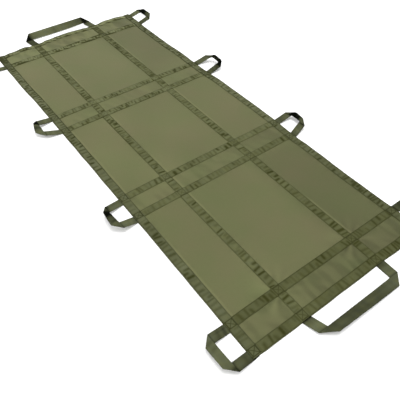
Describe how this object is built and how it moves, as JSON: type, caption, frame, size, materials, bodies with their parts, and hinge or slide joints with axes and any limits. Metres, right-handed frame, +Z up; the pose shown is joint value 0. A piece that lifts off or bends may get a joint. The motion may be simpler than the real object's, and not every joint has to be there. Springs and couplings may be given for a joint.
{
  "type": "disposable stretcher",
  "caption": "Flat cloth carrying sheet with sewn webbing straps that make hand loops along both sides and a wide handle at each end.",
  "frame": {"origin": "the middle of the sheet's underside, where it lies on the floor", "axes": "+Y along the sheet towards the end with the raised handle, +Z up from the floor, +X across the sheet"},
  "size_m": [0.979, 2.1804, 0.0454],
  "materials": {
    "sheet_fabric": "plain woven cloth with a light coating, olive",
    "webbing": "flat woven webbing, dark olive, matte"
  },
  "bodies": {
    "litter": {"litter_sheet": "sheet_fabric", "edge_strap_left": "webbing", "long_strap_left": "webbing", "long_strap_right": "webbing", "edge_strap_right": "webbing", "cross_strap_1": "webbing", "cross_strap_2": "webbing", "cross_strap_3": "webbing", "cross_strap_4": "webbing", "cross_strap_5": "webbing", "cross_strap_6": "webbing", "cross_strap_7": "webbing", "cross_strap_8": "webbing"},
    "side_loop_left_1": {"side_loop_left_1": "webbing"},
    "side_loop_left_2": {"side_loop_left_2": "webbing"},
    "side_loop_left_3": {"side_loop_left_3": "webbing"},
    "side_loop_left_4": {"side_loop_left_4": "webbing"},
    "side_loop_right_1": {"side_loop_right_1": "webbing"},
    "side_loop_right_2": {"side_loop_right_2": "webbing"},
    "side_loop_right_3": {"side_loop_right_3": "webbing"},
    "side_loop_right_4": {"side_loop_right_4": "webbing"},
    "end_handle_far": {"end_handle_far": "webbing"},
    "end_handle_near": {"end_handle_near": "webbing"}
  },
  "joints": [
    {"name": "side_loop_left_1_hinge", "type": "hinge", "parent": "litter", "child": "side_loop_left_1", "pos_m": [-0.3909, 0.929, 0.0015], "axis": [0, 1, 0], "range_deg": [-95, 114]},
    {"name": "side_loop_left_2_hinge", "type": "hinge", "parent": "litter", "child": "side_loop_left_2", "pos_m": [-0.3909, 0.303, 0.0015], "axis": [0, 1, 0], "range_deg": [-103, 105]},
    {"name": "side_loop_left_3_hinge", "type": "hinge", "parent": "litter", "child": "side_loop_left_3", "pos_m": [-0.3909, -0.309, 0.0015], "axis": [0, 1, 0], "range_deg": [-100, 98]},
    {"name": "side_loop_left_4_hinge", "type": "hinge", "parent": "litter", "child": "side_loop_left_4", "pos_m": [-0.3909, -0.9335, 0.0015], "axis": [0, 1, 0], "range_deg": [-98, 105]},
    {"name": "side_loop_right_1_hinge", "type": "hinge", "parent": "litter", "child": "side_loop_right_1", "pos_m": [0.3909, 0.929, 0.0015], "axis": [0, -1, 0], "range_deg": [-92, 118]},
    {"name": "side_loop_right_2_hinge", "type": "hinge", "parent": "litter", "child": "side_loop_right_2", "pos_m": [0.3909, 0.29, 0.0015], "axis": [0, -1, 0], "range_deg": [-107, 99]},
    {"name": "side_loop_right_3_hinge", "type": "hinge", "parent": "litter", "child": "side_loop_right_3", "pos_m": [0.3909, -0.3035, 0.0015], "axis": [0, -1, 0], "range_deg": [-104, 105]},
    {"name": "side_loop_right_4_hinge", "type": "hinge", "parent": "litter", "child": "side_loop_right_4", "pos_m": [0.3909, -0.932, 0.0015], "axis": [0, -1, 0], "range_deg": [-100, 108]},
    {"name": "end_handle_far_hinge", "type": "hinge", "parent": "litter", "child": "end_handle_far", "pos_m": [-0.015, 1.0009, 0.0015], "axis": [1, 0, 0], "range_deg": [-93, 116]},
    {"name": "end_handle_near_hinge", "type": "hinge", "parent": "litter", "child": "end_handle_near", "pos_m": [-0.015, -1.0009, 0.0015], "axis": [-1, 0, 0], "range_deg": [-90, 113]}
  ]
}
